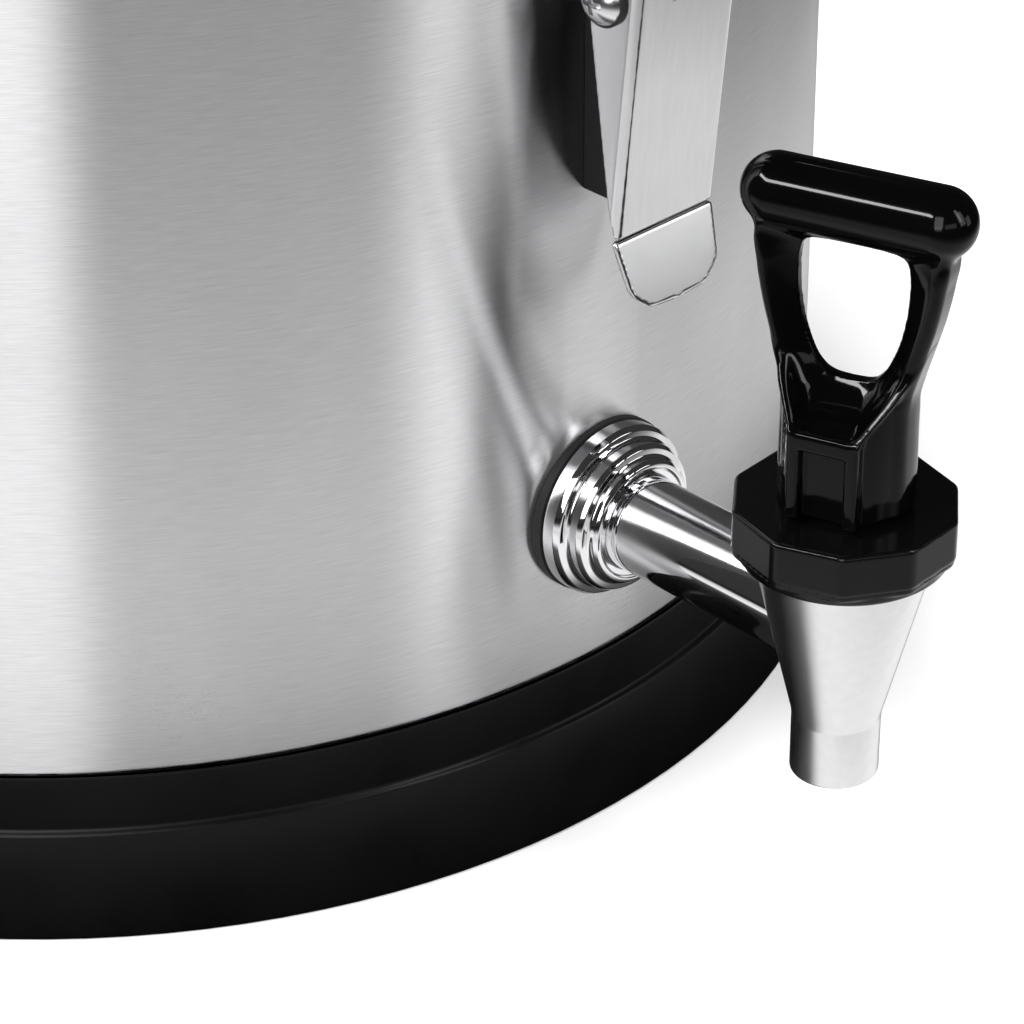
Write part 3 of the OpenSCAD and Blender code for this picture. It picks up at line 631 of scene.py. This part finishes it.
def turned(name, body, material, profile, to_world, replaced, radius, turns):
    """A piece turned on a lathe: its profile's corners are rounded, and to_world places its points."""
    verts, faces = lathe(filleted(profile, radius), turns)
    obj = new_object(name, to_world(verts) * MM, faces, material)
    dress(obj, body, replaced)


def at_tap(verts):
    return verts + np.array([0, TAP_Y, 0])


def out_of_body(start):
    """Turned pieces whose axis is the shank's, from this place on Y outwards."""
    def place(verts):
        return np.stack([verts[:, 0], -verts[:, 2], verts[:, 1]], 1) + np.array([0, start, SHANK_Z])
    return place


def along_grip(side):
    """Turned pieces whose axis is a hanging drop handle's grip. side is -1 at the left."""
    def place(verts):
        return np.stack([verts[:, 0], verts[:, 2], -verts[:, 1]], 1) + np.array([side * DROP_X, 0, DROP_Z])
    return place


def tap_metal():
    turned("tap_nozzle", "root", SATIN_CHROME, NOZZLE_PROFILE, at_tap, "tap_body",
           METAL_EDGE, METAL_TURNS)
    turned("collar_chrome", "root", MATERIALS["chrome"], COLLAR_PROFILE,
           out_of_body(-BODY_R - COLLAR_GAP), "tap_collar", METAL_EDGE, METAL_TURNS)


def grips():
    ribs = [(RIB_R - RIB_DEPTH * abs(math.sin(math.pi * i / STEPS_PER_RIB)), RIB_START + i * RIB_STEP)
            for i in range(RIB_POINTS)]
    profile = [(r, -along) for r, along in GRIP_END] + ribs + GRIP_END[::-1]
    for side, name, body in ((-1, "grip_left", "drop_left"), (1, "grip_right", "drop_right")):
        turned(f"{name}_moulding", body, MATERIALS["black_satin"], profile, along_grip(side),
               name, GRIP_EDGE, GRIP_TURNS)


# ---------- latches ----------
# Pairs are (distance from the body, height). The sheet's fold is where the face meets the finger tab
PIVOT = (14.9, 193.4)
LINK_PIN = (12.1, 182.4)
PIN_CLEARANCE_R = 2.08
FOLD_S, FOLD_Z, LEAN, SHEET, BEND = 15.5, 134.1, 0.1, 1.2, 1.9
LEVER_HALF = 13.1
FACE_TOP, FACE_DEPTH, EAR_GAP, EAR_R = 186.0, 2.2, 0.1, 6.5
NOTCH_FOOT, NOTCH_HALF, NOTCH_DEPTH = 182.0, 3.7, 4
WEB_OUTLINE = [
    (40, FOLD_Z + 0.2), (14.9, FOLD_Z + 1.2), (13.5, 141.6), (8.5, 177), (8.5, 181), (8.4, PIVOT[1]), PIVOT,
    (22.4, FACE_TOP), (40, FACE_TOP),
]
TAB_LEAN, TAB_STRETCH, TAB_CORNER = 0.32, 1.05, 4
TAB_OUTLINE = filleted(
    mirrored([(0.01, -13.4), (7.4, -12.9), (11.4, -9.9), (12.7, -0.8), (12.7, 0.5)]), TAB_CORNER)
RELIEF_X, RELIEF_RISE, RELIEF_R = 13.0, 0.7, 0.8
SHEET_BLEND = 0.3
LEVER_BOX = (-13.4, -24.5, 120), (13.4, -6, 200.5)


def lever_channel(x, s, z):
    """The folded sheet above the tab: a leaning face, two side webs and the ears at their tops."""
    away = s - LEAN * (z - FOLD_Z)
    flat = rounded_extrusion(np.abs(x) - LEVER_HALF, np.abs(away) - FOLD_S, BEND)
    sheet = np.maximum(flat, -flat - SHEET)
    ear = np.hypot(s - PIVOT[0], z - PIVOT[1]) - EAR_R
    reach = np.minimum(polygon_2d(s, z, WEB_OUTLINE), ear)
    channel = smooth_max(sheet, reach, SHEET_BLEND)
    above_face = (z > FACE_TOP) & (away > FOLD_S - FACE_DEPTH)
    ears_only = np.where(above_face, LEVER_HALF - SHEET - EAR_GAP - np.abs(x), -1)
    in_notch = (z > NOTCH_FOOT) & (away > FOLD_S - NOTCH_DEPTH)
    notch = np.where(in_notch, NOTCH_HALF - np.abs(x), -1)
    return np.maximum(np.maximum(channel, ears_only), notch)


def lever_tab(x, s, z):
    """The finger tab, which turns outwards below the fold."""
    outwards = s - FOLD_S - TAB_LEAN * (FOLD_Z - z)
    tab_plane = np.abs((outwards + SHEET / 2) / TAB_STRETCH) - SHEET / 2
    return smooth_max(tab_plane, polygon_2d(x, z - FOLD_Z, TAB_OUTLINE), SHEET_BLEND)


def lever_field(x, y, z):
    """The lever in a frame where -y is the distance from the body."""
    s = -y
    body = smooth_min(lever_channel(x, s, z), lever_tab(x, s, z), SHEET_BLEND)
    relief = np.hypot(np.abs(x) - RELIEF_X, z - FOLD_Z - RELIEF_RISE) - RELIEF_R
    body = np.maximum(body, -relief)
    for s0, z0 in (PIVOT, LINK_PIN):
        body = np.maximum(body, PIN_CLEARANCE_R - np.hypot(s - s0, z - z0))
    return body


def latch_lever(side, name, body):
    verts, faces = surface_net(lever_field, *LEVER_BOX, FINE_GRID)
    verts = verts + np.array([0, -BODY_R, 0])
    obj = new_object(f"{name}_pressing", placed(verts, side), faces, MATERIALS["latch_steel"])
    dress(obj, body, name)


# ---------- lid handle ----------
OUTER_CORNER, INNER_CORNER = 9, 7
LID_HANDLE_OUTER = filleted(
    mirrored([(62.9, 262.05), (61.5, 273), (56.5, 286), (46, 292.6), (28, 293.95)]), OUTER_CORNER)
LID_HANDLE_INNER = filleted(
    mirrored([(45, 255), (43.6, 272), (40, 279.5), (33, 283), (20, 283.8)]), INNER_CORNER)
STRAP_HALF, STRAP_WIDENING, WIDENING_FROM, STRAP_EDGE = 9.2, 1.8, 30, 3.6
LID_FOOT_HALF, LID_FOOT_TOP, LID_FOOT_EDGE, LID_FOOT_BLEND = 10.9, 264, 0.8, 1.5
GROOVE_Z, GROOVE_MIDDLE, GROOVE_APART, GROOVE_R, GROOVE_BLEND = 295.6, 13, 6.5, 2.1, 0.8
LID_TOP = 262.02
LID_SCREW_X, LID_SCREW_R, LID_SCREW_TOP = 54, 1.9, 272
LID_HANDLE_BOX = (-63.4, -11.4, 261.5), (63.4, 11.4, 294.4)


def lid_handle_field(x, y, z):
    """An arch that widens towards its feet, with finger grooves on top and screw holes below."""
    arch = np.maximum(polygon_2d(x, z, LID_HANDLE_OUTER), -polygon_2d(x, z, LID_HANDLE_INNER))
    half = STRAP_HALF + STRAP_WIDENING * np.clip((np.abs(x) - WIDENING_FROM) / WIDENING_FROM, 0, 1) ** 2
    strap = rounded_extrusion(arch, np.abs(y) - half, STRAP_EDGE)
    foot = rounded_extrusion(np.maximum(arch, z - LID_FOOT_TOP), np.abs(y) - LID_FOOT_HALF, LID_FOOT_EDGE)
    body = smooth_min(strap, foot, LID_FOOT_BLEND)
    beside = np.abs(np.abs(x) - GROOVE_MIDDLE) - GROOVE_APART
    grooves = np.hypot(z - GROOVE_Z, beside) - GROOVE_R
    body = smooth_max(body, -grooves, GROOVE_BLEND)
    screws = np.where(z > LID_SCREW_TOP, -FAR, LID_SCREW_R - np.hypot(np.abs(x) - LID_SCREW_X, y))
    return np.maximum(np.maximum(body, LID_TOP - z), screws)


def lid_handle():
    verts, faces = surface_net(lid_handle_field, *LID_HANDLE_BOX, LID_HANDLE_GRID)
    obj = new_object("lid_handle_moulding", placed(verts), faces, MATERIALS["black_satin"])
    dress(obj, "lid", "lid_handle")


# ---------- floor, lamps and camera ----------
# Levels at each distance from the middle, in metres: what the camera sees added to the lit paper, and
# what shows in reflections, a painted reflection with painted shade at the object's foot and painted light
# round it
PAPER = (0.88, 0.88, 0.88, 1)
PAPER_LIFT = [(0.165, 0.16), (0.19, 0.42), (0.22, 0.58), (0.30, 0.85), (0.45, 1.0)]
# painted reflection of the floor: dark at the foot as painted shade, brightest round the object as painted
# light
PAINTED_REFLECTION_LEVELS = [
    (0.165, 0.02), (0.205, 0.12), (0.228, 1.1), (0.26, 1.12), (0.31, 0.85), (0.38, 0.92), (0.47, 0.36),
    (0.60, 0.06), (0.80, 0.02),
]
FLOOR_R, FLOOR_SIDES = 4.0, 96
WHITE = (1, 1, 1, 1)
TARGET = (0, -0.15, 0.12)
LAMP_DISTANCE = 1.5
# name, azimuth and height in degrees, width and tallness in metres, radiance
LAMPS = (
    ("strip", 154, 44, 1.50, 0.17, 36),
    ("key_box", -146, 26, 0.64, 0.90, 5.1),
    ("key_low", -146, 8, 0.50, 0.25, 3.0),
    ("low_mid", -110, 15, 0.90, 0.30, 1.65),
    ("front_strip", -77, 34, 0.22, 0.90, 5.6),
    ("front_wide", -72, 24, 0.45, 0.90, 3.5),
    ("front_panel", -52, 9, 0.36, 0.50, 2.2),
    ("back_box", 57, 46, 0.36, 0.26, 6),
)
CAMERA_PLACE = (-0.52815, -0.66817, 0.50724)
CAMERA_TILT, CAMERA_HEADING = math.radians(59.063), math.radians(-44.487)
CAMERA_LENS, SENSOR_WIDTH = 155.81, 36.0
CAMERA_NEAR, CAMERA_FAR = 0.02, 50


def light_path(nodes, output):
    return nodes.new("ShaderNodeLightPath").outputs[output]


def mixed(nodes, links, factor, first, second):
    mix = nodes.new("ShaderNodeMixShader")
    links.new(factor, mix.inputs[0])
    links.new(first, mix.inputs[1])
    links.new(second, mix.inputs[2])
    return mix.outputs[0]


def radial_emission(nodes, links, distance, stops):
    """Light whose strength follows the stops, pairs of (distance, level)."""
    ramp = nodes.new("ShaderNodeValToRGB")
    while len(ramp.color_ramp.elements) < len(stops):
        ramp.color_ramp.elements.new(0.5)
    for element, (place, level) in zip(ramp.color_ramp.elements, stops):
        element.position = place
        element.color = (level, level, level, 1)
    links.new(distance, ramp.inputs["Fac"])
    emission = nodes.new("ShaderNodeEmission")
    links.new(ramp.outputs["Color"], emission.inputs["Strength"])
    return emission.outputs[0]


def floor_material():
    """White paper to the camera. In reflections it is a painted reflection: painted shade at the object's
    foot, then painted light that is brightest round the object and falls off outwards.
    """
    mat = bpy.data.materials.new("paper_and_painted_reflection")
    mat.use_nodes = True
    nodes, links = mat.node_tree.nodes, mat.node_tree.links
    nodes.clear()
    out = nodes.new("ShaderNodeOutputMaterial")
    paper = nodes.new("ShaderNodeBsdfDiffuse")
    paper.inputs["Color"].default_value = PAPER
    coord = nodes.new("ShaderNodeTexCoord")
    length = nodes.new("ShaderNodeVectorMath")
    length.operation = "LENGTH"
    links.new(coord.outputs["Object"], length.inputs[0])
    distance = length.outputs["Value"]
    seen = nodes.new("ShaderNodeAddShader")
    links.new(paper.outputs[0], seen.inputs[0])
    links.new(radial_emission(nodes, links, distance, PAPER_LIFT), seen.inputs[1])
    # painted reflection: a glow seen only by glossy rays, with painted shade and painted light set by
    # distance
    painted_reflection = radial_emission(nodes, links, distance, PAINTED_REFLECTION_LEVELS)
    plain = mixed(nodes, links, light_path(nodes, "Is Camera Ray"), paper.outputs[0], seen.outputs[0])
    both = mixed(nodes, links, light_path(nodes, "Is Glossy Ray"), plain, painted_reflection)
    links.new(both, out.inputs["Surface"])
    return mat


def floor():
    bpy.ops.mesh.primitive_circle_add(
        vertices=FLOOR_SIDES, radius=FLOOR_R, fill_type="NGON", location=(0, 0, 0))
    obj = bpy.context.object
    obj.name = "floor"
    obj.data.materials.append(floor_material())


def world(diffuse, glossy):
    """White behind the object, and a dimmer studio on it and in its reflections."""
    w = bpy.data.worlds.new("studio")
    bpy.context.scene.world = w
    w.use_nodes = True
    nodes, links = w.node_tree.nodes, w.node_tree.links
    nodes.clear()
    out = nodes.new("ShaderNodeOutputWorld")
    levels = []
    for strength in (diffuse, glossy, 1.0):
        background = nodes.new("ShaderNodeBackground")
        background.inputs["Color"].default_value = WHITE
        background.inputs["Strength"].default_value = strength
        levels.append(background.outputs[0])
    shine = mixed(nodes, links, light_path(nodes, "Is Glossy Ray"), levels[0], levels[1])
    both = mixed(nodes, links, light_path(nodes, "Is Camera Ray"), shine, levels[2])
    links.new(both, out.inputs["Surface"])


def around(azimuth, height, distance, target):
    """A place seen from the target at this azimuth and height, in degrees."""
    a, h = math.radians(azimuth), math.radians(height)
    level = distance * math.cos(h)
    return (target[0] + level * math.cos(a), target[1] + level * math.sin(a),
            target[2] + distance * math.sin(h))


def lamp(name, place, target, size, power):
    data = bpy.data.lights.new(name, "AREA")
    data.shape = "RECTANGLE"
    data.size, data.size_y = size
    data.energy = power
    obj = bpy.data.objects.new(name, data)
    obj.location = place
    obj.rotation_euler = (Vector(target) - Vector(place)).to_track_quat("-Z", "Y").to_euler()
    bpy.context.scene.collection.objects.link(obj)


def lamps():
    for name, azimuth, height, width, tall, radiance in LAMPS:
        place = around(azimuth, height, LAMP_DISTANCE, TARGET)
        lamp(name, place, TARGET, (width, tall), radiance * math.pi * width * tall)


def camera():
    data = bpy.data.cameras.new("camera")
    data.sensor_width = SENSOR_WIDTH
    data.lens = CAMERA_LENS
    data.clip_start, data.clip_end = CAMERA_NEAR, CAMERA_FAR
    obj = bpy.data.objects.new("camera", data)
    obj.location = CAMERA_PLACE
    obj.rotation_euler = (CAMERA_TILT, 0, CAMERA_HEADING)
    bpy.context.scene.collection.objects.link(obj)
    bpy.context.scene.camera = obj


# ---------- the dressed urn ----------
MOULDED_EDGE, PRESSED_EDGE = 0.6, 0.25

tap_handle()
bonnet()
tap_metal()
latch_lever(FRONT, "latch_lever_front", "lever_front")
latch_lever(REAR, "latch_lever_rear", "lever_rear")
lid_handle()
grips()
soften(MOULDED_EDGE, "base_cup", "lid_cover", "latch_bases", "rim_collar")
soften(PRESSED_EDGE, "handle_brackets", "lid_keepers", "latch_link_front", "latch_link_rear",
       "link_screw_front", "link_screw_rear", "pivot_screws", "link_nut_front", "link_nut_rear",
       "bracket_rivets", "vent_knob", "tap_shank")

floor()
world(diffuse=0.42, glossy=0.04)
lamps()
camera()
bpy.context.scene.view_settings.view_transform = "Standard"
